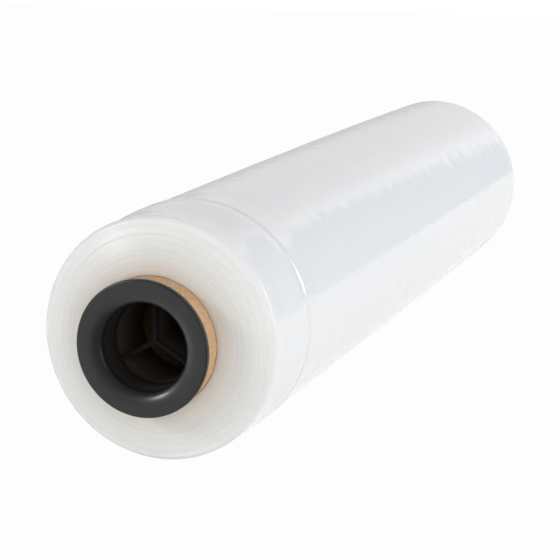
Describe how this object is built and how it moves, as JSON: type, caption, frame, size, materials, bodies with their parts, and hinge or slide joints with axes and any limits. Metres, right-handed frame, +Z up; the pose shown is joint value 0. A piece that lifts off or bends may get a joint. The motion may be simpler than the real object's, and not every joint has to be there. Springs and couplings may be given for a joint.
{
  "type": "stretch wrap roll",
  "caption": "Roll of clear stretch film wound on a paperboard core that stands out at both ends, with a black moulded plug in each mouth of the core.",
  "frame": {"origin": "on the floor, under the middle of the roll as it lies on its side", "axes": "+X along the roll's axis towards the right-hand end, +Y to the back, +Z up"},
  "size_m": [0.5274, 0.1128, 0.1123],
  "materials": {
    "film": "many turns of clear stretch film, milky white, glossy on the side and satin at the ends",
    "core_board": "brown paperboard, matt",
    "plug_plastic": "black moulded plastic, satin"
  },
  "bodies": {
    "root": {"film_roll": "film", "paper_core": "core_board", "left_end_plug": "plug_plastic", "right_end_plug": "plug_plastic"}
  },
  "joints": []
}
